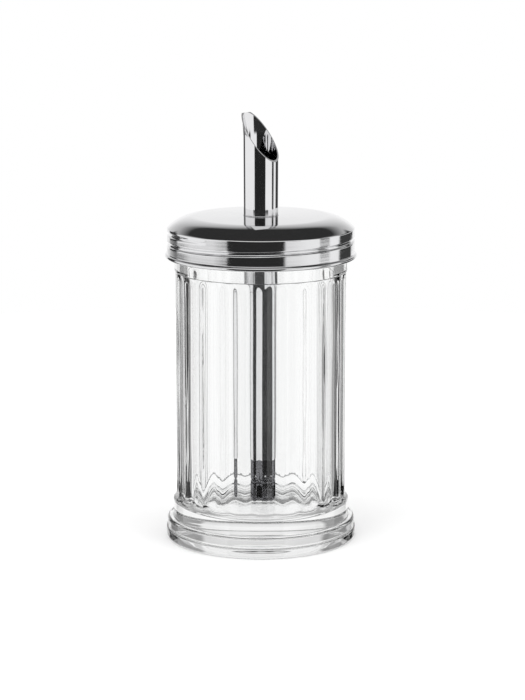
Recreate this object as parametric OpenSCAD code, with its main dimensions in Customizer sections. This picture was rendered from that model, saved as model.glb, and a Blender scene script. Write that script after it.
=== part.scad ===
// Sugar dispenser: fluted glass jar, steel screw cap and a dosing tube with a gravity flap.
// Millimetres, +Z up, origin at the middle of the foot's underside, -Y towards the viewer.

/* [Jar] */
// Height of the glass from the table to its rim
jar_h = 125; // [110:1:140]
// Outside radius of the body, over the ridges between the flutes
body_r = 33.7; // [32.5:0.1:34.2]
// Glass thickness from the ridges to the inside
jar_wall = 4.1; // [3.2:0.1:5.5]
// Height of the inner floor above the table
floor_z = 12; // [10:0.5:14]
// Radius of the corner between the inner floor and the wall
floor_corner_r = 6; // [3:0.5:8]
// Overhang of the foot beyond the body
foot_out = 4.1; // [3:0.1:5]
// Height of the lower bead of the foot
foot_bead_h = 4.1; // [3.4:0.1:4.6]
// Height at which the plain band starts
foot_h = 8.2; // [7:0.1:9]
// Overhang of the plain band beyond the body
band_out = 1.2; // [0.6:0.1:1.6]
// Height at which the plain band ends
band_top_z = 15.3; // [13:0.1:17]
// Rise of the slope between the band and the fluted body
band_slope_h = 1.5; // [0.8:0.1:2.5]
// Depth of the hollow under the foot
punt_h = 1.5; // [0.8:0.1:3]
// Width of the ring that the jar stands on
stand_w = 6; // [4:0.5:9]

/* [Flutes] */
// Number of flutes round the body
flute_count = 23; // [16:1:24]
// Depth of a flute below the ridges
flute_depth = 0.9; // [0.5:0.05:1]
// Radius of the hollow of a flute
flute_hollow_r = 9; // [7:0.5:10]
// Height of the flutes' lower tips above the slope of the band
flute_foot_gap = 0.2; // [0.1:0.1:3]
// Height of plain glass between the flutes' upper tips and the cap
flute_head_gap = 5.1; // [4:0.1:12]
// Turn of the first ridge from the front
ridge_turn = 2.8; // [0:0.2:16]

/* [Neck] */
// Overhang of the plain ring under the cap beyond the body
ring_out = 0.3; // [0.1:0.05:0.5]
// Overhang of the threaded neck beyond the body
neck_out = 1.1; // [0.9:0.05:1.2]
// Height of the neck's thread
neck_thread_h = 1.1; // [0.9:0.05:1.15]
// Roundness of the glass rim
rim_round_r = 1.2; // [0.5:0.1:1.8]

/* [Cap] */
// Play between the neck and the inside of the cap's skirt
cap_gap = 1.5; // [1.35:0.05:1.8]
// Thickness of the cap's sheet
cap_sheet = 0.5; // [0.4:0.05:0.6]
// Height of the skirt, from the rolled lip to the edge of the dome
skirt_h = 11.5; // [10:0.5:13]
// Depth of the dome's edge below the glass rim
cap_drop = 1; // [0.6:0.1:1.6]
// Rise of the dome above its edge
dome_rise = 5; // [4.4:0.1:7]
// Radius of the nearly flat crown of the dome
crown_r = 26; // [22:0.5:27]
// Fall of the crown from its middle to its border
crown_fall = 0.3; // [0.2:0.05:0.8]
// Roundness of the edge between dome and skirt
edge_round_r = 0.7; // [0.6:0.05:1.2]
// Radius of the rolled lip
lip_roll_r = 0.8; // [0.6:0.05:1]
// Overhang of the rolled lip beyond the skirt
lip_out = 0.9; // [0.5:0.05:1]

/* [Screw thread] */
// Rise of the thread in one turn
thread_pitch = 4; // [3.6:0.1:5]
// Height of the thread below the dome's edge, at the front of the cap
thread_drop = 5; // [4.9:0.1:5.8]
// Depth of the thread rolled into the skirt
cap_thread_h = 0.8; // [0.6:0.05:0.9]
// Axial play between the cap's thread and the neck's
thread_play = 0.35; // [0.2:0.05:0.6]

/* [Seal] */
// Thickness of the sealing ring
seal_t = 1.2; // [0.8:0.1:1.4]
// Width of the sealing ring
seal_w = 3; // [2:0.1:4]
// Play that keeps pieces apart where one turns on the other
turn_gap = 0.3; // [0.2:0.05:0.4]

/* [Dosing tube] */
// Outside radius of the tube at its lower end
tube_low_r = 6.35; // [6:0.05:6.7]
// Outside radius of the tube where its mouth widens
tube_high_r = 6.98; // [6.8:0.05:7.4]
// Outside radius of the widened mouth at its tip
mouth_r = 7.75; // [7.5:0.05:8.5]
// Wall of the tube
tube_wall = 0.5; // [0.4:0.05:0.6]
// Height of the tube's lower end above the table
tube_low_z = 31.7; // [28:0.1:36]
// Length of the tube above the crown, to the start of the widened mouth
tube_rise = 32.5; // [26:0.5:40]
// Height of the widened part of the mouth
mouth_h = 7.9; // [5:0.1:9]
// Depth by which the mouth's tip is ground flat
tip_flat = 0.8; // [0.4:0.1:1.5]
// Slope of the slanted mouth from level
mouth_slope = 52.7; // [45:0.1:58]
// Direction in which the mouth's low side faces, turned to the right of the front
mouth_turn = 54; // [0:1:90]
// Radius of the tube's rolled beads above and below the cap's sheet
bead_r = 0.4; // [0.3:0.05:0.5]

/* [Dosing insert] */
// Play between the insert and the tube's bore
insert_fit = 0.06; // [0.02:0.01:0.1]
// Wall of the insert
insert_wall = 0.5; // [0.4:0.05:0.6]
// Play between the insert's underside and the glass floor
insert_lift = 2.3; // [1.5:0.1:3]
// Depth to which the insert is pushed into the tube
insert_hold = 8; // [5:0.5:12]
// Roundness of the insert's lower corner
insert_round_r = 2.2; // [1.5:0.1:2.6]
// Width of the inlet window
inlet_w = 7; // [5.5:0.1:7.5]
// Height of the inlet window
inlet_h = 5; // [4.4:0.1:5.4]
// Height of the window's lower edge above the insert's underside
inlet_lift = 1.8; // [1.4:0.1:2.2]
// Depth of the rolled seat under the flap
seat_depth = 1.35; // [1.1:0.05:1.5]

/* [Flap] */
// Radius of the hinge pin
pin_r = 0.5; // [0.4:0.05:0.6]
// Running play between the pin and the flap's knuckle
pin_play = 0.05; // [0.02:0.01:0.09]
// Wall of the flap's knuckle
knuckle_wall = 0.45; // [0.35:0.05:0.5]
// Length of the flap's knuckle
knuckle_l = 5; // [4:0.1:5.4]
// Thickness of the flap
flap_t = 0.35; // [0.25:0.05:0.4]
// Play between the flap's edge and the insert's bore
flap_edge_gap = 0.3; // [0.2:0.05:0.5]
// Half width of the flap across its hinge
flap_half_w = 4.2; // [3.8:0.1:4.3]
// Play between the closed flap and its seat
flap_seat_gap = 0.1; // [0.05:0.01:0.2]
// Swing of the flap away from its seat in this model
flap_swing = 0; // [0:1:75]

/* [Hidden] */
$fn = 96;
far = 200;
// Overshoot of a cutting shape past the face where it leaves
spare = 1;
// Play between faces that rest on each other
touch_gap = 0.05;
// Depth to which a ridge is sunk into the wall that carries it
ridge_root = 0.6;
// Depth below the wall at which a ridge's faded end disappears
fade_sink = 0.15;

// Jar
inner_r = body_r - jar_wall;
foot_r = body_r + foot_out;
band_r = body_r + band_out;
ring_r = body_r + ring_out;
neck_r = body_r + neck_out;
bead_round_r = foot_bead_h / 2;
// Height over which the foot's upper bead runs into the lower one, and its set-back
step_overlap = 0.8;
step_in = 0.5;
step_round_r = (foot_h - foot_bead_h + step_overlap) / 2;
step_r = foot_r - step_in;
stand_r = foot_r - bead_round_r - stand_w;

// Cap
cap_r = neck_r + cap_gap + cap_sheet;
edge_z = jar_h - cap_drop;
lip_z = edge_z - skirt_h;
crown_top_z = edge_z + dome_rise;
crown_sphere_r = (crown_r * crown_r + crown_fall * crown_fall) / (2 * crown_fall);
crown_lean = asin(crown_r / crown_sphere_r);
shoulder_dr = crown_r - cap_r;
shoulder_dz = crown_top_z - crown_fall - edge_z;
shoulder_arc_r = (shoulder_dr * shoulder_dr + shoulder_dz * shoulder_dz)
    / (2 * (shoulder_dr * sin(crown_lean) + shoulder_dz * cos(crown_lean)));
shoulder_c_r = crown_r - shoulder_arc_r * sin(crown_lean);
shoulder_c_z = crown_top_z - crown_fall - shoulder_arc_r * cos(crown_lean);
edge_c_r = cap_r - edge_round_r;
edge_c_z = shoulder_c_z
    + sqrt(pow(shoulder_arc_r - edge_round_r, 2) - pow(edge_c_r - shoulder_c_r, 2));
cap_inner_r = cap_r - cap_sheet;
ring_z = lip_z - flute_head_gap;
neck_z = lip_z + lip_roll_r;

// Thread, as a helix that rises by thread_pitch in a turn
cap_thread_z = edge_z - thread_drop;
cap_thread_from = -100;
cap_thread_to = 325;
neck_thread_from = -250;
neck_thread_to = 150;
thread_fade = 30;
thread_step = 9;
cap_ridge_w = 2.2;
cap_ridge_crest_w = 1;
neck_ridge_w = 1.9;
neck_ridge_crest_w = 0.8;
groove_play = 0.1;
thread_offset = (cap_ridge_w + cap_ridge_crest_w + neck_ridge_w + neck_ridge_crest_w) / 4 + thread_play;

// Seal
seal_low_z = jar_h + touch_gap;
seal_high_z = seal_low_z + seal_t;
seal_outer_r = shoulder_c_r
    + sqrt(pow(shoulder_arc_r - cap_sheet - turn_gap, 2) - pow(seal_high_z - shoulder_c_z, 2));
seal_inner_r = seal_outer_r - seal_w;

// Tube
mouth_z = crown_top_z + tube_rise;
tube_grow = (tube_high_r - tube_low_r) / (mouth_z - tube_low_z);
tip_z = mouth_z + mouth_h;
function tube_r_at(z) = tube_low_r + tube_grow * (z - tube_low_z);
hole_r = tube_r_at(crown_top_z) + touch_gap;
facing = mouth_turn - 90;

// Insert and flap, along the inlet's direction
insert_r = tube_low_r - tube_wall - insert_fit;
insert_bore_r = insert_r - insert_wall;
insert_z = floor_z + insert_lift;
insert_top_z = tube_low_z + insert_hold;
inlet_z = insert_z + inlet_lift;
seat_web = 0.2;
seat_z = inlet_z + inlet_h + seat_web + seat_depth;
knuckle_r = pin_r + pin_play + knuckle_wall;
flap_z = seat_z + seat_depth + flap_seat_gap;
pin_z = flap_z + knuckle_r;
pin_hole_play = 0.02;
pin_inset = 0.65;
pin_x = insert_bore_r - knuckle_r - pin_inset;
pin_half_l = sqrt(insert_r * insert_r - pin_x * pin_x) - touch_gap;
flap_r = insert_bore_r - flap_edge_gap;

// Section of the sheet's outer face, drawn in by inset, from the axis to the skirt
module cap_region(inset) {
    intersection() {
        translate([0, lip_z]) square([cap_r - inset, far]);
        union() {
            intersection() {
                translate([0, crown_top_z - crown_sphere_r]) circle(crown_sphere_r - inset, $fn = 720);
                translate([0, lip_z]) square([shoulder_c_r, far]);
            }
            translate([shoulder_c_r, shoulder_c_z]) circle(shoulder_arc_r - inset);
            translate([0, lip_z]) square([far, shoulder_c_z - lip_z]);
        }
    }
}

// The sliver that rounding the dome's edge takes away
module edge_sliver() {
    lean = atan2(edge_c_r - shoulder_c_r, edge_c_z - shoulder_c_z);
    out_r = shoulder_arc_r + spare;
    difference() {
        polygon([
            [edge_c_r, edge_c_z],
            [cap_r + spare, edge_c_z],
            [cap_r + spare, shoulder_c_z + out_r * cos(lean)],
            [shoulder_c_r + out_r * sin(lean), shoulder_c_z + out_r * cos(lean)]
        ]);
        translate([edge_c_r, edge_c_z]) circle(edge_round_r);
    }
}

// A ridge that winds round the axis: it stands on base_r, reaches base_r + height, and fades out at its ends
module thread_ridge(base_r, height, root, base_w, crest_w, from, to, z_at_front) {
    side = height > 0 ? 1 : -1;
    steps = ceil((to - from) / thread_step);
    function rise(turn) = let (near = min(turn - from, to - turn) / thread_fade)
        near >= 1 ? abs(height) : abs(height) * near - fade_sink * (1 - near);
    rings = [for (i = [0:steps])
        let (turn = from + (to - from) * i / steps,
             z = z_at_front + thread_pitch * turn / 360,
             top = rise(turn))
        [for (c = [[-root, -base_w / 2], [top, -crest_w / 2], [top, crest_w / 2], [-root, base_w / 2]])
            let (r = base_r + side * c[0])
            [r * cos(turn - 90), r * sin(turn - 90), z + c[1]]]];
    points = [for (ring = rings) for (p = ring) p];
    walls = [for (i = [0:steps - 1]) for (k = [0:3])
        let (a = 4 * i + k, b = 4 * i + (k + 1) % 4, c = a + 4, d = b + 4)
        each (side > 0 ? [[a, b, d], [a, d, c]] : [[a, d, b], [a, c, d]])];
    last = 4 * steps;
    ends = side > 0
        ? [[0, 2, 1], [0, 3, 2], [last, last + 1, last + 2], [last, last + 2, last + 3]]
        : [[0, 1, 2], [0, 2, 3], [last, last + 2, last + 1], [last, last + 3, last + 2]];
    polyhedron(points = points, faces = concat(walls, ends), convexity = 8);
}

// Upright section of the glass, outside
module jar_outline() {
    slope_top_z = band_top_z + band_slope_h;
    square([foot_r - bead_round_r, foot_bead_h]);
    translate([foot_r - bead_round_r, bead_round_r]) circle(bead_round_r);
    square([step_r - step_round_r, foot_h]);
    translate([step_r - step_round_r, foot_h - step_round_r]) circle(step_round_r);
    square([band_r, band_top_z]);
    polygon([[0, band_top_z], [band_r, band_top_z], [body_r, slope_top_z], [0, slope_top_z]]);
    square([body_r, ring_z]);
    polygon([[0, ring_z - ring_out], [body_r, ring_z - ring_out], [ring_r, ring_z], [0, ring_z]]);
    translate([0, ring_z]) square([ring_r, neck_z - neck_out - ring_z]);
    polygon([[0, neck_z - neck_out], [ring_r, neck_z - neck_out], [neck_r, neck_z], [0, neck_z]]);
    translate([0, neck_z]) square([neck_r, jar_h - rim_round_r - neck_z]);
    translate([0, neck_z]) square([neck_r - rim_round_r, jar_h - neck_z]);
    translate([neck_r - rim_round_r, jar_h - rim_round_r]) circle(rim_round_r);
}

// Upright section of the jar's inside
module jar_hollow() {
    translate([0, floor_z]) square([inner_r - floor_corner_r, far]);
    translate([0, floor_z + floor_corner_r]) square([inner_r, far]);
    translate([inner_r - floor_corner_r, floor_z + floor_corner_r]) circle(floor_corner_r);
}

// One flute: an upright round hollow with ball ends, so that its ends are arched
module flute_cut() {
    reach = sqrt(pow(flute_hollow_r, 2) - pow(flute_hollow_r - flute_depth, 2));
    low_z = band_top_z + band_slope_h + flute_foot_gap + reach;
    high_z = ring_z - ring_out - reach;
    translate([body_r - flute_depth + flute_hollow_r, 0, low_z]) {
        cylinder(r = flute_hollow_r, h = high_z - low_z);
        sphere(flute_hollow_r);
        translate([0, 0, high_z - low_z]) sphere(flute_hollow_r);
    }
}

module glass_jar() {
    punt_r = (stand_r * stand_r + punt_h * punt_h) / (2 * punt_h);
    color([0.92, 0.95, 0.95, 0.45]) difference() {
        union() {
            rotate_extrude() difference() {
                jar_outline();
                jar_hollow();
            }
            thread_ridge(neck_r, neck_thread_h, ridge_root, neck_ridge_w, neck_ridge_crest_w,
                neck_thread_from, neck_thread_to, cap_thread_z + thread_offset);
        }
        translate([0, 0, punt_h - punt_r]) sphere(punt_r, $fn = 720);
        for (i = [0:flute_count - 1])
            rotate(ridge_turn - 90 + (i + 0.5) * 360 / flute_count) flute_cut();
    }
}

module lid_seal() {
    color([0.88, 0.88, 0.86]) rotate_extrude()
        translate([seal_inner_r, seal_low_z]) square([seal_w, seal_t]);
}

module screw_cap() {
    groove_w = cap_ridge_w - groove_play;
    color([0.8, 0.8, 0.82]) difference() {
        union() {
            rotate_extrude() {
                difference() {
                    cap_region(0);
                    cap_region(cap_sheet);
                    edge_sliver();
                }
                translate([cap_r + lip_out - lip_roll_r, lip_z + lip_roll_r]) circle(lip_roll_r);
            }
            thread_ridge(cap_inner_r, -cap_thread_h, cap_sheet / 2, cap_ridge_w, cap_ridge_crest_w,
                cap_thread_from, cap_thread_to, cap_thread_z);
        }
        thread_ridge(cap_r, groove_play - cap_thread_h, ridge_root, groove_w, cap_ridge_crest_w - 2 * groove_play,
            cap_thread_from, cap_thread_to, cap_thread_z);
        translate([0, 0, edge_z]) cylinder(r = hole_r, h = far);
    }
}

module dosing_tube() {
    color([0.84, 0.84, 0.86]) difference() {
        rotate_extrude() {
            polygon([
                [tube_low_r - tube_wall, tube_low_z], [tube_low_r, tube_low_z],
                [tube_high_r, mouth_z], [mouth_r, tip_z],
                [mouth_r - tube_wall, tip_z], [tube_high_r - tube_wall, mouth_z]
            ]);
            for (side = [0, 1])
                translate([tube_r_at(crown_top_z),
                    crown_top_z + touch_gap + bead_r - side * (cap_sheet + 2 * touch_gap + 2 * bead_r)])
                    intersection() {
                        circle(bead_r);
                        translate([-tube_wall / 2, -bead_r]) square([2 * bead_r, 2 * bead_r]);
                    }
        }
        rotate(facing) translate([-mouth_r, 0, tip_z])
            rotate([0, mouth_slope, 0]) translate([-far / 2, -far / 2, 0]) cube([far, far, far]);
        translate([0, 0, tip_z - tip_flat]) cylinder(r = 2 * mouth_r, h = far);
    }
}

module dosing_insert() {
    color([0.62, 0.62, 0.64]) difference() {
        rotate_extrude() {
            difference() {
                union() {
                    translate([0, insert_z]) square([insert_r - insert_round_r, insert_top_z - insert_z]);
                    translate([0, insert_z + insert_round_r])
                        square([insert_r, insert_top_z - insert_z - insert_round_r]);
                    translate([insert_r - insert_round_r, insert_z + insert_round_r]) circle(insert_round_r);
                }
                translate([0, insert_z + insert_wall])
                    square([insert_r - insert_round_r, far]);
                translate([0, insert_z + insert_round_r]) square([insert_bore_r, far]);
                translate([insert_r - insert_round_r, insert_z + insert_round_r])
                    circle(insert_round_r - insert_wall);
                translate([insert_r, seat_z]) circle(seat_depth - insert_wall);
            }
            intersection() {
                difference() {
                    translate([insert_bore_r, seat_z]) circle(seat_depth);
                    translate([insert_r, seat_z]) circle(seat_depth - insert_wall);
                }
                translate([0, insert_z]) square([insert_bore_r + insert_wall / 2, far]);
            }
        }
        rotate(facing) {
            translate([0, -inlet_w / 2, inlet_z]) cube([insert_r + spare, inlet_w, inlet_h]);
            translate([pin_x, -insert_r, pin_z]) rotate([-90, 0, 0])
                cylinder(r = pin_r + pin_hole_play, h = 2 * insert_r);
        }
    }
}

module flap_pin() {
    color([0.75, 0.75, 0.77]) rotate(facing)
        translate([pin_x, -pin_half_l, pin_z]) rotate([-90, 0, 0]) cylinder(r = pin_r, h = 2 * pin_half_l);
}

module dosing_flap() {
    color([0.78, 0.78, 0.8]) rotate(facing) translate([pin_x, 0, pin_z]) rotate([0, flap_swing, 0])
        difference() {
            union() {
                translate([0, -knuckle_l / 2, 0]) rotate([-90, 0, 0]) cylinder(r = knuckle_r, h = knuckle_l);
                translate([0, 0, touch_gap - knuckle_r]) intersection() {
                    translate([-pin_x, 0, 0]) cylinder(r = flap_r, h = flap_t);
                    translate([-far, -flap_half_w, 0]) cube([far, 2 * flap_half_w, flap_t]);
                }
            }
            translate([0, -knuckle_l, 0]) rotate([-90, 0, 0]) cylinder(r = pin_r + pin_play, h = 2 * knuckle_l);
        }
}

glass_jar();
lid_seal();
screw_cap();
dosing_tube();
dosing_insert();
flap_pin();
dosing_flap();
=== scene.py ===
# Sugar dispenser: a fluted glass jar, a steel screw cap with a rolled thread, and a dosing tube.
# Metres for Blender, but every size below is written in millimetres and passed through mm().
import math

import bpy
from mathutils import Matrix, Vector, noise


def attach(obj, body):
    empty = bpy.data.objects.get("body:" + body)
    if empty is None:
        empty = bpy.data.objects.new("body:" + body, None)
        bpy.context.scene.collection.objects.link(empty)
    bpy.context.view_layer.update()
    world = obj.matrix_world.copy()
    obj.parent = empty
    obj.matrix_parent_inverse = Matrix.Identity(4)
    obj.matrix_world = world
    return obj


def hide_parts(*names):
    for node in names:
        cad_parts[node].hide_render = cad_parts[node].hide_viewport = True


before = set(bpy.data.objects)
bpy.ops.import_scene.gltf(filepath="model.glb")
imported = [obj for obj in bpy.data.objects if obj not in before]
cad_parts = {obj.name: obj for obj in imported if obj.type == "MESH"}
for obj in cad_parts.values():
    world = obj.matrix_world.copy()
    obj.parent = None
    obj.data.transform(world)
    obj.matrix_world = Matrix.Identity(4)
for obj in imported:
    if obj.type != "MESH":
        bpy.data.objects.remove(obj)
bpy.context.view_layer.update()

# Jar, in millimetres
JAR_H = 125
BODY_R = 33.7
INNER_R = 29.6
FLOOR_Z = 12
FLOOR_CORNER_R = 6
FOOT_R = 37.8
FOOT_STEP_R = 37.3
FOOT_BEAD_H = 4.1
FOOT_H = 8.2
FOOT_UNDER_ROUND_R = 2.2
FOOT_BEAD_ROUND_R = 1.9
FOOT_CREASE_DROP = 0.1
FOOT_CREASE_IN = 0.7
FOOT_CREASE_ROUND_R = 0.2
FOOT_STEP_RISE = 0.5
FOOT_STEP_LOW_ROUND_R = 1.2
FOOT_STEP_TOP_ROUND_R = 2.5
BAND_R = 34.9
BAND_TOP_Z = 15.3
BAND_SLOPE_H = 1.5
BAND_FOOT_ROUND_R = 0.35
BAND_TOP_ROUND_R = 0.5
PUNT_H = 1.5
STAND_R = 29.75
PUNT_ROWS = 8
RING_R = 34
RING_Z = 107.4
RING_SLOPE_H = 0.3
RING_ROUND_R = 0.3
NECK_R = 34.8
NECK_Z = 113.3
NECK_SLOPE_H = 1.1
RIM_ROUND_R = 1.2
RIM_FLAT_W = 0.5
RIM_INNER_ROUND_R = 1
RIM_INNER_H = 3
WALL_RIPPLE = 0.12
WALL_RIPPLE_SIZE = 7
JAR_COLUMNS = 414
FLUTE_END_ROW = 0.3
FLUTE_ROW = 12
FLUTE_END_ROWS_H = 4.4
NECK_ROW = 0.28
INNER_WALL_ROW = 3

# Flutes
FLUTES = 23
FLUTE_DEPTH = 0.75
FLUTE_HOLLOW_R = 8.35
FLUTE_FOOT_GAP = 0.2
RIDGE_TURN = 2
RIDGE_SOFTNESS = 0.6

# Cap
CAP_R = 36.8
CAP_SHEET = 0.5
EDGE_Z = 124
LIP_Z = 112.5
CROWN_TOP_Z = 129
CROWN_R = 26
CROWN_FALL = 0.3
HOLE_PLAY = 0.05
EDGE_ROUND_R = 0.7
LIP_ROLL_R = 0.8
LIP_OUT = 0.9
LIP_ROLL_ARC = (80, -190)
SKIRT_ROW = 0.2
CAP_COLUMNS = 360

# Screw thread, which rises to the right
THREAD_PITCH = 4
CAP_THREAD_Z = 119
CAP_THREAD_DEPTH = 0.7
CAP_THREAD_HALF_W = 1.1
CAP_THREAD_TURNS = (-100, 325)
NECK_THREAD_Z = 120.825
NECK_THREAD_H = 1.1
NECK_THREAD_HALF_W = 0.95
NECK_THREAD_TURNS = (-250, 150)
THREAD_FADE = 30
THREAD_CREST_SHARE = 0.2

# Tube
TUBE_LOW_R = 6.35
TUBE_HIGH_R = 6.98
MOUTH_R = 7.75
TUBE_WALL = 0.5
TUBE_ROWS_Z = (60, 100)
TUBE_LOW_Z = 31.7
MOUTH_Z = 161.5
MOUTH_ROWS_H = 6
FLARE_BELOW_MOUTH = 2
FLARE_POWER = 1.4
TIP_Z = 169.4
TIP_FLAT = 0.8
MOUTH_SLOPE = 52.7
MOUTH_TURN = 54
BEAD_R = 0.15
BEAD_GAP = 0.05
TUBE_COLUMNS = 144


def mm(value):
    return value * 0.001


# Outlines, as lists of (radius, height) points
def arc(centre, radius, first, last, points):
    """Points on a circle, from the angle first to the angle last in degrees."""
    angles = [math.radians(first + (last - first) * i / (points - 1)) for i in range(points)]
    return [(centre[0] + radius * math.cos(a), centre[1] + radius * math.sin(a)) for a in angles]


def level_rows(radius, low, high, spacing):
    """Points up a straight wall, at most spacing apart, without its two ends."""
    rows = math.ceil(abs(high - low) / spacing)
    return [(radius, low + (high - low) * i / rows) for i in range(1, rows)]


def softened(corners, points=5):
    """An outline through corners (radius, height, rounding), each corner drawn as an arc."""
    outline = []
    for i, (r, z, rounding) in enumerate(corners):
        here = Vector((r, z))
        if not rounding or i in (0, len(corners) - 1):
            outline.append((r, z))
            continue
        back = (Vector(corners[i - 1][:2]) - here)
        ahead = (Vector(corners[i + 1][:2]) - here)
        half = back.angle(ahead) / 2
        reach = min(rounding / math.tan(half), back.length * 0.49, ahead.length * 0.49)
        a = here + back.normalized() * reach
        b = here + ahead.normalized() * reach
        for k in range(points):
            t = k / (points - 1)
            p = a * (1 - t) ** 2 + here * 2 * t * (1 - t) + b * t ** 2
            outline.append((p.x, p.y))
    return outline


def jar_outline():
    slope_top_z = BAND_TOP_Z + BAND_SLOPE_H
    punt_r = (STAND_R ** 2 + PUNT_H ** 2) / (2 * PUNT_H)
    punt = [STAND_R * i / PUNT_ROWS for i in range(PUNT_ROWS)]
    outline = [(r, PUNT_H - punt_r + math.sqrt(punt_r ** 2 - r ** 2)) for r in punt]
    crease_z = FOOT_BEAD_H - FOOT_CREASE_DROP
    outline += softened([
        (STAND_R, 0, 0),
        (FOOT_R - FOOT_UNDER_ROUND_R, 0, 0),
        (FOOT_R, 0, FOOT_UNDER_ROUND_R),
        (FOOT_R, crease_z, FOOT_BEAD_ROUND_R),
        (FOOT_STEP_R - FOOT_CREASE_IN, crease_z, FOOT_CREASE_ROUND_R),
        (FOOT_STEP_R, FOOT_BEAD_H + FOOT_STEP_RISE, FOOT_STEP_LOW_ROUND_R),
        (FOOT_STEP_R, FOOT_H, FOOT_STEP_TOP_ROUND_R),
        (BAND_R, FOOT_H, BAND_FOOT_ROUND_R),
        (BAND_R, BAND_TOP_Z, BAND_TOP_ROUND_R),
        (BODY_R, slope_top_z, 0),
    ], points=9)
    high = RING_Z - RING_SLOPE_H
    low_ends_z = slope_top_z + FLUTE_END_ROWS_H
    high_ends_z = high - FLUTE_END_ROWS_H
    outline += level_rows(BODY_R, slope_top_z, low_ends_z, FLUTE_END_ROW)
    outline += level_rows(BODY_R, low_ends_z, high_ends_z, FLUTE_ROW)
    outline += level_rows(BODY_R, high_ends_z, high, FLUTE_END_ROW)
    outline += softened([
        (BODY_R, high, 0),
        (RING_R, RING_Z, RING_ROUND_R),
        (RING_R, NECK_Z - NECK_SLOPE_H, RING_ROUND_R),
        (NECK_R, NECK_Z, 0),
    ])
    neck_top_z = JAR_H - RIM_ROUND_R
    outline += level_rows(NECK_R, NECK_Z, neck_top_z, NECK_ROW)
    outline += arc((NECK_R - RIM_ROUND_R, neck_top_z), RIM_ROUND_R, 0, 90, 8)
    outline += softened([
        (NECK_R - RIM_ROUND_R - RIM_FLAT_W, JAR_H, 0),
        (INNER_R, JAR_H, RIM_INNER_ROUND_R),
        (INNER_R, JAR_H - RIM_INNER_H, 0),
    ], points=8)
    outline += level_rows(INNER_R, JAR_H - RIM_INNER_H, FLOOR_Z + FLOOR_CORNER_R, INNER_WALL_ROW)
    outline += arc((INNER_R - FLOOR_CORNER_R, FLOOR_Z + FLOOR_CORNER_R), FLOOR_CORNER_R, 0, -90, 14)
    return outline + [(r, FLOOR_Z) for r in (20, 16, 12, 8, 4, 0)]


def dome_arc():
    """Centre and radius of the arc that leads from the crown to the edge of the cap."""
    crown_sphere_r = (CROWN_R ** 2 + CROWN_FALL ** 2) / (2 * CROWN_FALL)
    lean = math.asin(CROWN_R / crown_sphere_r)
    dr = CROWN_R - CAP_R
    dz = CROWN_TOP_Z - CROWN_FALL - EDGE_Z
    radius = (dr * dr + dz * dz) / (2 * (dr * math.sin(lean) + dz * math.cos(lean)))
    centre = (CROWN_R - radius * math.sin(lean), CROWN_TOP_Z - CROWN_FALL - radius * math.cos(lean))
    return crown_sphere_r, lean, centre, radius


def sheet_face(inset):
    """The cap's outside drawn in by inset, from the tube's hole to the foot of the skirt."""
    crown_sphere_r, lean, centre, radius = dome_arc()
    hole_r = tube_radius(CROWN_TOP_Z) + HOLE_PLAY
    crown = [hole_r + (CROWN_R - hole_r) * i / 10 for i in range(10)]
    crown_centre_z = CROWN_TOP_Z - crown_sphere_r
    face = [(r, crown_centre_z + math.sqrt((crown_sphere_r - inset) ** 2 - r * r)) for r in crown]
    edge_r = CAP_R - EDGE_ROUND_R
    edge_z = centre[1] + math.sqrt((radius - EDGE_ROUND_R) ** 2 - (edge_r - centre[0]) ** 2)
    edge_lean = math.degrees(math.atan2(edge_z - centre[1], edge_r - centre[0]))
    face += arc(centre, radius - inset, 90 - math.degrees(lean), edge_lean + 1.5, 28)
    face += arc((edge_r, edge_z), EDGE_ROUND_R - inset, edge_lean, 0, 9)
    return face + level_rows(CAP_R - inset, edge_z, LIP_Z + 2 * LIP_ROLL_R, SKIRT_ROW)


def cap_outline():
    roll = (CAP_R + LIP_OUT - LIP_ROLL_R, LIP_Z + LIP_ROLL_R)
    outside = sheet_face(0)
    inside = sheet_face(CAP_SHEET)
    return outside + arc(roll, LIP_ROLL_R, *LIP_ROLL_ARC, 22) + inside[::-1]


def tube_radius(z):
    return TUBE_LOW_R + (TUBE_HIGH_R - TUBE_LOW_R) * (z - TUBE_LOW_Z) / (MOUTH_Z - TUBE_LOW_Z)


def tube_wall_face(inset):
    """The tube's outside drawn in by inset, from its lower end to the tip of the mouth."""
    face = [(tube_radius(z) - inset, z) for z in (TUBE_LOW_Z, *TUBE_ROWS_Z)]
    if not inset:
        for z in (CROWN_TOP_Z - CAP_SHEET - BEAD_GAP - BEAD_R, CROWN_TOP_Z + BEAD_GAP + BEAD_R):
            face += arc((tube_radius(z), z), BEAD_R, -90, 90, 9)
    for i in range(13):
        z = MOUTH_Z - MOUTH_ROWS_H + (TIP_Z - MOUTH_Z + MOUTH_ROWS_H) * i / 12
        along = (z - MOUTH_Z + FLARE_BELOW_MOUTH) / (TIP_Z - MOUTH_Z + FLARE_BELOW_MOUTH)
        flare = (MOUTH_R - TUBE_HIGH_R) * max(0, along) ** FLARE_POWER
        face.append((min(tube_radius(z), TUBE_HIGH_R) + flare - inset, z))
    return face


def tube_outline():
    return tube_wall_face(0) + tube_wall_face(TUBE_WALL)[::-1]


# Modelling steps
def clear_selection():
    if bpy.context.object and bpy.context.object.mode != "OBJECT":
        bpy.ops.object.mode_set(mode="OBJECT")
    bpy.ops.object.select_all(action="DESELECT")


def activate(piece):
    clear_selection()
    piece.select_set(True)
    bpy.context.view_layer.objects.active = piece


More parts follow.
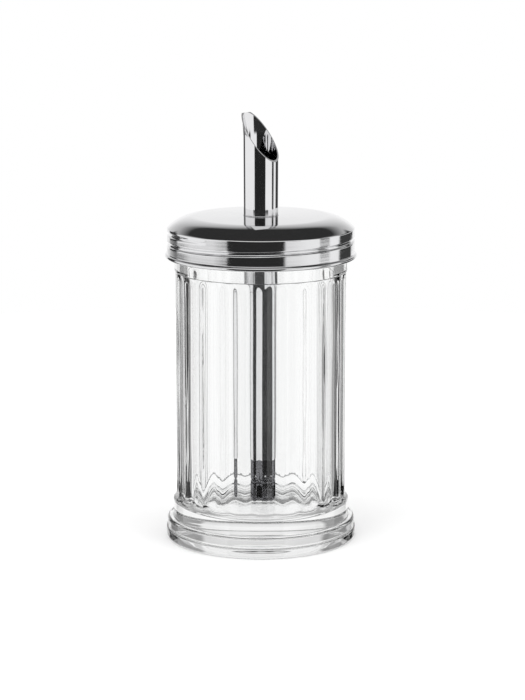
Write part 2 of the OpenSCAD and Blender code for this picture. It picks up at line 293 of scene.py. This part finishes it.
def draw_outline(name, outline, azimuth=0, closed=False):
    """A wire drawn vertex by vertex in the upright plane that leaves the axis at azimuth."""
    clear_selection()
    out = Vector((math.cos(azimuth), math.sin(azimuth), 0))
    spots = [out * mm(r) + Vector((0, 0, mm(z))) for r, z in outline]
    bpy.ops.mesh.primitive_plane_add(size=mm(1))
    piece = bpy.context.object
    piece.name = piece.data.name = name
    bpy.ops.object.mode_set(mode="EDIT")
    bpy.ops.mesh.select_all(action="SELECT")
    bpy.ops.mesh.merge(type="CENTER")
    bpy.ops.transform.translate(value=spots[0])
    for here, there in zip(spots, spots[1:]):
        bpy.ops.mesh.extrude_region_move(TRANSFORM_OT_translate={"value": there - here})
    if closed:
        bpy.ops.object.mode_set(mode="OBJECT")
        last = len(piece.data.vertices) - 1
        for vertex in piece.data.vertices:
            vertex.select = vertex.index in (0, last)
        bpy.ops.object.mode_set(mode="EDIT")
        bpy.ops.mesh.edge_face_add()
    return piece


def turn_on_lathe(piece, columns):
    """Spins the wire of the active piece round the upright axis and closes its seam and poles."""
    bpy.ops.mesh.select_all(action="SELECT")
    bpy.ops.mesh.spin(steps=columns, angle=math.tau, center=(0, 0, 0), axis=(0, 0, 1))
    bpy.ops.mesh.select_all(action="SELECT")
    bpy.ops.mesh.remove_doubles(threshold=mm(0.002))
    bpy.ops.mesh.normals_make_consistent(inside=False)
    bpy.ops.object.mode_set(mode="OBJECT")
    return piece


def smooth(piece, angle):
    activate(piece)
    bpy.ops.object.shade_smooth_by_angle(angle=math.radians(angle))
    clear_selection()


def reshape(piece, new_radius):
    """Moves each vertex in or out to new_radius(radius, turn, height), all in millimetres and degrees.
    turn is 0 at the front and grows to the right."""
    for vertex in piece.data.vertices:
        x, y, z = vertex.co
        radius = math.hypot(x, y)
        if radius < mm(1):
            continue
        turn = (math.degrees(math.atan2(y, x)) + 90 + 180) % 360 - 180
        grow = mm(new_radius(radius * 1000, turn, z * 1000)) / radius
        vertex.co = (x * grow, y * grow, z)


def blend_low(a, b, softness):
    """The lower of two values, with a soft change from one to the other."""
    share = min(1, max(0, 0.5 + 0.5 * (b - a) / softness))
    return b + (a - b) * share - softness * share * (1 - share)


def flute_radius(turn, z):
    """Radius of the flutes' hollows at a turn and height, or a large value past their ends."""
    pitch = 360 / FLUTES
    off = math.radians((turn - RIDGE_TURN) % pitch - pitch / 2)
    reach = math.sqrt(FLUTE_HOLLOW_R ** 2 - (FLUTE_HOLLOW_R - FLUTE_DEPTH) ** 2)
    low = BAND_TOP_Z + BAND_SLOPE_H + FLUTE_FOOT_GAP + reach
    high = RING_Z - RING_SLOPE_H - reach
    past = max(low - z, z - high, 0)
    centre = BODY_R - FLUTE_DEPTH + FLUTE_HOLLOW_R
    inside = FLUTE_HOLLOW_R ** 2 - past ** 2 - (centre * math.sin(off)) ** 2
    if inside <= 0:
        return BODY_R + 1
    return centre * math.cos(off) - math.sqrt(inside)


def thread_height(turn, z, middle_z, half_w, turns):
    """Share of a thread's full height at a turn and height: 0 off the thread, 1 on its crest."""
    share = 0
    for lap in (-360, 0, 360):
        along = turn + lap
        if not turns[0] < along < turns[1]:
            continue
        fade = min(1, (along - turns[0]) / THREAD_FADE, (turns[1] - along) / THREAD_FADE)
        off = abs(z - middle_z - THREAD_PITCH * along / 360) / half_w
        if off < 1:
            slope = max(0, (off - THREAD_CREST_SHARE) / (1 - THREAD_CREST_SHARE))
            share = max(share, fade * (0.5 + 0.5 * math.cos(math.pi * slope)))
    return share


def ripple(turn, z, size):
    """Slow unevenness of pressed glass, from -1 to 1, with waves about size millimetres wide."""
    a = math.radians(turn)
    return noise.noise(Vector((math.cos(a) * 30 / size, math.sin(a) * 30 / size, z / size / 3)))


def glass_radius(radius, turn, z):
    if radius < BODY_R - 2:
        if FLOOR_Z + FLOOR_CORNER_R < z < JAR_H - 4 and radius > INNER_R - 1:
            return radius + WALL_RIPPLE * ripple(turn, z, WALL_RIPPLE_SIZE)
        return radius
    if BAND_TOP_Z + BAND_SLOPE_H < z < RING_Z and abs(radius - BODY_R) < 0.01:
        return blend_low(BODY_R, flute_radius(turn, z), RIDGE_SOFTNESS)
    if NECK_Z < z < JAR_H - RIM_ROUND_R and abs(radius - NECK_R) < 0.01:
        return radius + NECK_THREAD_H * thread_height(
            turn, z, NECK_THREAD_Z, NECK_THREAD_HALF_W, NECK_THREAD_TURNS)
    return radius


def cap_radius(radius, turn, z):
    if radius < CAP_R - CAP_SHEET - 0.01 or not LIP_Z + 2 * LIP_ROLL_R < z < EDGE_Z - 0.4:
        return radius
    return radius - CAP_THREAD_DEPTH * thread_height(
        turn, z, CAP_THREAD_Z, CAP_THREAD_HALF_W, CAP_THREAD_TURNS)


# Materials
def add_node(tree, kind, **settings):
    node = tree.nodes.new(kind)
    for name, value in settings.items():
        setattr(node, name, value)
    return node


def put(tree, source, target):
    """Feeds a socket from another socket, or sets it to a plain value."""
    if isinstance(source, bpy.types.NodeSocket):
        tree.links.new(source, target)
    else:
        target.default_value = source


def calculate(tree, operation, *values):
    node = add_node(tree, "ShaderNodeMath", operation=operation)
    for i, value in enumerate(values):
        put(tree, value, node.inputs[i])
    return node.outputs[0]


def remap(tree, value, low, high, to_low, to_high, smooth_steps=True):
    node = add_node(tree, "ShaderNodeMapRange",
                    interpolation_type="SMOOTHSTEP" if smooth_steps else "LINEAR")
    for name, source in (("Value", value), ("From Min", low), ("From Max", high),
                         ("To Min", to_low), ("To Max", to_high)):
        put(tree, source, node.inputs[name])
    return node.outputs["Result"]


def blend(tree, share, first, second):
    """A brightness that goes from first to second as share goes from 0 to 1."""
    node = add_node(tree, "ShaderNodeMix", data_type="FLOAT")
    put(tree, share, node.inputs["Factor"])
    put(tree, first, node.inputs[2])
    put(tree, second, node.inputs[3])
    return node.outputs[0]


def ramp(tree, value, stops):
    node = add_node(tree, "ShaderNodeValToRGB")
    elements = node.color_ramp.elements
    while len(elements) < len(stops):
        elements.new(1)
    for element, (position, shade) in zip(elements, stops):
        element.position = position
        colour = shade if isinstance(shade, tuple) else (shade, shade, shade)
        element.color = (*colour, 1)
    put(tree, value, node.inputs["Fac"])
    return node.outputs["Color"]


def noise_on(tree, coordinates, scale, stretch=(1, 1, 1), detail=3.0):
    mapping = add_node(tree, "ShaderNodeMapping")
    mapping.inputs["Scale"].default_value = stretch
    put(tree, coordinates, mapping.inputs["Vector"])
    texture = add_node(tree, "ShaderNodeTexNoise")
    texture.inputs["Scale"].default_value = scale
    texture.inputs["Detail"].default_value = detail
    put(tree, mapping.outputs["Vector"], texture.inputs["Vector"])
    return texture.outputs["Fac"]


def new_material(name):
    material = bpy.data.materials.new(name)
    material.use_nodes = True
    tree = material.node_tree
    shader = tree.nodes["Principled BSDF"]
    coordinates = add_node(tree, "ShaderNodeTexCoord").outputs["Object"]
    return material, tree, shader, coordinates


def bumped(tree, height, distance, strength, shader):
    bump = add_node(tree, "ShaderNodeBump")
    bump.inputs["Strength"].default_value = strength
    bump.inputs["Distance"].default_value = distance
    put(tree, height, bump.inputs["Height"])
    put(tree, bump.outputs["Normal"], shader.inputs["Normal"])


def steel(name, light, dark, rough, lines, line_scale):
    """Stainless steel with cloudy tone, fine tool lines along lines, and uneven polish."""
    material, tree, shader, coordinates = new_material(name)
    shader.inputs["Metallic"].default_value = 1
    clouds = noise_on(tree, coordinates, 90)
    put(tree, ramp(tree, clouds, [(0.3, dark), (0.7, light)]), shader.inputs["Base Color"])
    scratches = noise_on(tree, coordinates, line_scale, stretch=lines, detail=4)
    put(tree, remap(tree, scratches, 0.3, 0.7, *rough), shader.inputs["Roughness"])
    bumped(tree, scratches, 0.00002, 0.12, shader)
    return material


def turned_steel(name, light, dark, rough):
    """Stainless steel polished on the lathe: fine rings round the axis."""
    material, tree, shader, coordinates = new_material(name)
    shader.inputs["Metallic"].default_value = 1
    place = add_node(tree, "ShaderNodeSeparateXYZ")
    put(tree, coordinates, place.inputs[0])
    square = [calculate(tree, "MULTIPLY", place.outputs[i], place.outputs[i]) for i in (0, 1)]
    radius = calculate(tree, "SQRT", calculate(tree, "ADD", *square))
    rings = add_node(tree, "ShaderNodeTexNoise", noise_dimensions="2D")
    rings.inputs["Scale"].default_value = 1
    rings.inputs["Detail"].default_value = 4
    spot = add_node(tree, "ShaderNodeCombineXYZ")
    put(tree, calculate(tree, "MULTIPLY", radius, 2600), spot.inputs[0])
    put(tree, calculate(tree, "MULTIPLY", place.outputs[2], 2600), spot.inputs[1])
    put(tree, spot.outputs[0], rings.inputs["Vector"])
    clouds = noise_on(tree, coordinates, 70)
    put(tree, ramp(tree, clouds, [(0.3, dark), (0.7, light)]), shader.inputs["Base Color"])
    put(tree, remap(tree, rings.outputs["Fac"], 0.3, 0.7, *rough), shader.inputs["Roughness"])
    bumped(tree, rings.outputs["Fac"], 0.00001, 0.08, shader)
    return material


def clear_glass():
    material, tree, shader, coordinates = new_material("pressed_glass")
    shader.inputs["Base Color"].default_value = (0.995, 0.998, 0.997, 1)
    shader.inputs["Transmission Weight"].default_value = 1
    shader.inputs["IOR"].default_value = 1.5
    shader.inputs["Roughness"].default_value = 0
    waves = noise_on(tree, coordinates, 110, stretch=(1, 1, 0.35), detail=1)
    bumped(tree, waves, 0.0004, 0.12, shader)
    return material


def rubber():
    material, tree, shader, coordinates = new_material("seal_rubber")
    grain = noise_on(tree, coordinates, 900)
    put(tree, ramp(tree, grain, [(0.3, (0.72, 0.72, 0.7)), (0.7, (0.8, 0.8, 0.78))]),
        shader.inputs["Base Color"])
    put(tree, remap(tree, grain, 0.3, 0.7, 0.5, 0.7), shader.inputs["Roughness"])
    bumped(tree, grain, 0.0001, 0.2, shader)
    return material


def wear(piece, material):
    piece.data.materials.clear()
    piece.data.materials.append(material)
    for face in piece.data.polygons:
        face.material_index = 0


# Pieces
def make_jar():
    start = math.radians(RIDGE_TURN - 90)
    jar = draw_outline("pressed_jar", jar_outline(), azimuth=start)
    turn_on_lathe(jar, JAR_COLUMNS)
    reshape(jar, glass_radius)
    smooth(jar, 60)
    wear(jar, clear_glass())
    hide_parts("glass_jar")
    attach(jar, "jar")


def make_cap():
    cap = draw_outline("rolled_cap", cap_outline(), closed=True)
    turn_on_lathe(cap, CAP_COLUMNS)
    reshape(cap, cap_radius)
    smooth(cap, 50)
    wear(cap, turned_steel("cap_steel", light=(0.8, 0.8, 0.81), dark=(0.76, 0.76, 0.77),
                           rough=(0.05, 0.1)))
    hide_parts("screw_cap")
    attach(cap, "lid")


def make_tube():
    tube = draw_outline("dosing_spout", tube_outline(), closed=True)
    turn_on_lathe(tube, TUBE_COLUMNS)
    slope = math.radians(MOUTH_SLOPE)
    facing = math.radians(MOUTH_TURN - 90)
    low_side = Vector((math.cos(facing), math.sin(facing), 0))
    up = Vector((0, 0, 1))
    tip = up * mm(TIP_Z) - low_side * mm(MOUTH_R)
    away = low_side * math.sin(slope) + up * math.cos(slope)
    activate(tube)
    bpy.ops.object.mode_set(mode="EDIT")
    bpy.ops.mesh.select_all(action="SELECT")
    bpy.ops.mesh.bisect(plane_co=tip, plane_no=away, use_fill=True, clear_outer=True,
                        threshold=mm(0.001))
    bpy.ops.mesh.select_all(action="SELECT")
    bpy.ops.mesh.bisect(plane_co=(0, 0, mm(TIP_Z - TIP_FLAT)), plane_no=(0, 0, 1),
                        use_fill=True, clear_outer=True, threshold=mm(0.001))
    bpy.ops.object.mode_set(mode="OBJECT")
    smooth(tube, 30)
    wear(tube, steel("tube_steel", light=(0.82, 0.82, 0.83), dark=(0.78, 0.78, 0.79),
                     rough=(0.03, 0.07), lines=(9, 9, 0.4), line_scale=300))
    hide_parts("dosing_tube")
    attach(tube, "lid")


def smoothed_copy(node, name, body, material):
    """A CAD piece with its triangles merged, so that its round faces shade smoothly."""
    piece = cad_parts[node].copy()
    piece.data = piece.data.copy()
    for key in list(piece.keys()):
        del piece[key]
    piece.parent = None
    piece.name = piece.data.name = name
    bpy.context.scene.collection.objects.link(piece)
    activate(piece)
    bpy.ops.object.mode_set(mode="EDIT")
    bpy.ops.mesh.select_all(action="SELECT")
    bpy.ops.mesh.customdata_custom_splitnormals_clear()
    bpy.ops.mesh.remove_doubles(threshold=mm(0.002))
    bpy.ops.object.mode_set(mode="OBJECT")
    smooth(piece, 30)
    wear(piece, material)
    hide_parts(node)
    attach(piece, body)


# Studio rooms, drawn by direction: headings are degrees to the right of the front, shades are brightness
SKIRT_ROOM = [(-180, 1), (-150, 0.7), (-130, 0.25), (-112, 0.25), (-95, 0.7), (-60, 0.7), (-40, 0.03),
              (27, 0.03), (31, 0.7), (60, 1), (109, 1), (113, 0.05), (143, 0.05), (147, 1), (180, 1)]
TUBE_ROOM = [(-180, 1), (-150, 1), (-147, 0.05), (-126, 0.05), (-122, 1), (-42.5, 1), (-40.5, 0.02),
             (28.5, 0.02), (30.5, 1), (75.5, 1), (78, 0.03), (91, 0.03), (93.5, 1), (111, 1), (114, 0.05),
             (150, 0.05), (153, 1), (180, 1)]
MOUTH_ROOM = [(-180, 1), (-150, 1), (-147, 0.05), (-126, 0.05), (-122, 1), (-53, 1), (-50, 0.03), (48, 0.03),
              (51, 1), (180, 1)]
SKY = [(0, 1), (0.1, 1), (0.57, 0.5), (0.76, 0.03)]

# Rises of a direction, from -1 straight down to 1 straight up, over which one room gives way to the next
JAR_TO_SKIRT = (-0.172, -0.168)
SKIRT_TO_TUBE = (-0.1532, -0.1522)
TUBE_TO_MOUTH = (-0.06, 0)
MOUTH_TO_CROWN = (0.12, 0.14)
TABLE_TO_ROOM = (-0.9, -0.75)
ROOM_TO_CEILING = (0.36, 0.46)

# Camera, in metres and degrees
CAMERA_PLACE = (0.000635, -0.8732, 0.2538)
CAMERA_TILT = 78.426
CAMERA_LENS = 115.714

# Shades of the table, and of the ceiling over the front from far to near
TABLE_SHADE = 0.4
FRONT_CEILING = (0.9, 0.03)

# How far the room pales where it is seen through glass
SOLID_GLASS_PALE = 0.3
TRAPPED_LIGHT_PALE = 0.55
PALE_SHADE = 0.85
CLEAR_GLASS_PALE = 0.9


def room_shade(tree, heading, z):
    """The walls of the studio, which differ a little for the jar, the skirt, the tube and its mouth."""
    skirt, tube, mouth = [
        ramp(tree, calculate(tree, "ADD", heading, 0.5), [(h / 360 + 0.5, s) for h, s in bands])
        for bands in (SKIRT_ROOM, TUBE_ROOM, MOUTH_ROOM)]
    room = tube
    for above, rises in ((skirt, JAR_TO_SKIRT), (tube, SKIRT_TO_TUBE), (mouth, TUBE_TO_MOUTH),
                         (tube, MOUTH_TO_CROWN)):
        room = blend(tree, remap(tree, z, *rises, 0, 1), room, above)
    return room


def sky_shade(tree, heading, z):
    """The tent's roof, which darkens upwards and falls a little at both sides of the back."""
    off_back = calculate(tree, "SUBTRACT", 0.5, calculate(tree, "ABSOLUTE", heading))
    fall = calculate(tree, "SUBTRACT", remap(tree, off_back, 8 / 360, 25 / 360, 0, 0.13),
                     remap(tree, off_back, 45 / 360, 65 / 360, 0, 0.12))
    return ramp(tree, calculate(tree, "ADD", z, fall), SKY)


def seen_through_glass(tree, path, scenery):
    """Pales what thick glass shows, as the many small lights of a real room would."""
    passes, mirrored = path.outputs["Transmission Depth"], path.outputs["Glossy Depth"]
    in_solid_glass = calculate(tree, "COMPARE", passes, 2, 1.2)
    trapped = calculate(tree, "MULTIPLY", calculate(tree, "GREATER_THAN", passes, 0.5),
                        calculate(tree, "GREATER_THAN", mirrored, 1.5))
    refracted = calculate(tree, "LESS_THAN", mirrored, 0.5)
    for share, most, shade in ((in_solid_glass, SOLID_GLASS_PALE, PALE_SHADE),
                               (trapped, TRAPPED_LIGHT_PALE, PALE_SHADE),
                               (refracted, CLEAR_GLASS_PALE, 1.0)):
        scenery = blend(tree, calculate(tree, "MULTIPLY", share, most), scenery, shade)
    return scenery


def studio_world():
    """A bright tent with dark gaps and a dark ceiling, for what metal and glass show."""
    world = bpy.data.worlds.new("studio")
    bpy.context.scene.world = world
    world.use_nodes = True
    tree = world.node_tree
    background = tree.nodes["Background"]
    direction = add_node(tree, "ShaderNodeTexCoord").outputs["Generated"]
    part = add_node(tree, "ShaderNodeSeparateXYZ")
    put(tree, direction, part.inputs[0])
    x, y, z = part.outputs
    forward = calculate(tree, "MULTIPLY", y, -1)
    heading = calculate(tree, "DIVIDE", calculate(tree, "ARCTAN2", x, forward), math.tau)
    sky = sky_shade(tree, heading, z)
    overhead = calculate(tree, "DIVIDE", y, calculate(tree, "MAXIMUM", z, 0.02))
    front = remap(tree, overhead, -0.48, -0.36, *FRONT_CEILING)
    upper = blend(tree, remap(tree, y, -0.25, 0, 0, 1), front, sky)
    walls = calculate(tree, "MULTIPLY", room_shade(tree, heading, z), sky)
    lower = blend(tree, remap(tree, z, *TABLE_TO_ROOM, 0, 1), TABLE_SHADE, walls)
    scenery = blend(tree, remap(tree, z, *ROOM_TO_CEILING, 0, 1), lower, upper)
    path = add_node(tree, "ShaderNodeLightPath")
    shiny = calculate(tree, "MAXIMUM", path.outputs["Is Glossy Ray"], path.outputs["Is Transmission Ray"])
    shown = blend(tree, shiny, 1.0, seen_through_glass(tree, path, scenery))
    put(tree, shown, background.inputs["Color"])
    put(tree, 1.0, background.inputs["Strength"])


def studio_floor():
    clear_selection()
    bpy.ops.mesh.primitive_circle_add(vertices=128, radius=0.5, fill_type="NGON")
    floor = bpy.context.object
    floor.name = "floor"
    material, tree, shader, coordinates = new_material("floor_white")
    shade = ramp(tree, noise_on(tree, coordinates, 40), [(0.3, 0.975), (0.7, 0.985)])
    put(tree, shade, shader.inputs["Base Color"])
    shader.inputs["Roughness"].default_value = 0.9
    wear(floor, material)
    floor.visible_glossy = False
    floor.visible_transmission = False


def studio_lamp(name, location, size, power):
    clear_selection()
    bpy.ops.object.light_add(type="AREA", location=location)
    lamp = bpy.context.object
    lamp.name = name
    lamp.data.energy = power
    lamp.data.size = size
    lamp.rotation_euler = (-Vector(location)).to_track_quat("-Z", "Y").to_euler()
    lamp.visible_glossy = False
    lamp.visible_transmission = False
    lamp.visible_camera = False


def studio_camera():
    clear_selection()
    bpy.ops.object.camera_add(location=CAMERA_PLACE, rotation=(math.radians(CAMERA_TILT), 0, 0))
    camera = bpy.context.object
    camera.data.lens = CAMERA_LENS
    bpy.context.scene.camera = camera


make_jar()
make_cap()
make_tube()
# The insert's steel is painted dark, base colour about 0.2: painted shade for the dark core that the tube
# shows through the glass, on a steel finish with tool lines and uneven polish.
insert_steel = steel("insert_steel", light=(0.2, 0.2, 0.21), dark=(0.15, 0.15, 0.16),
                     rough=(0.1, 0.14), lines=(1, 1, 0.3), line_scale=60)
smoothed_copy("dosing_insert", "drawn_insert", "lid", insert_steel)
pin_steel = steel("pin_steel", light=(0.72, 0.72, 0.73), dark=(0.66, 0.66, 0.67),
                  rough=(0.12, 0.2), lines=(3, 3, 3), line_scale=900)
smoothed_copy("flap_pin", "hinge_pin", "lid", pin_steel)
flap_steel = steel("flap_steel", light=(0.76, 0.76, 0.77), dark=(0.7, 0.7, 0.71),
                   rough=(0.1, 0.18), lines=(9, 1, 1), line_scale=300)
smoothed_copy("dosing_flap", "gravity_flap", "flap", flap_steel)
wear(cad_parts["lid_seal"], rubber())
studio_world()
studio_floor()
studio_lamp("key", (-0.5, -0.4, 0.9), 0.6, 3)
studio_lamp("fill", (0.6, -0.3, 0.7), 0.6, 2)
studio_camera()

bpy.context.scene.view_settings.view_transform = "Standard"
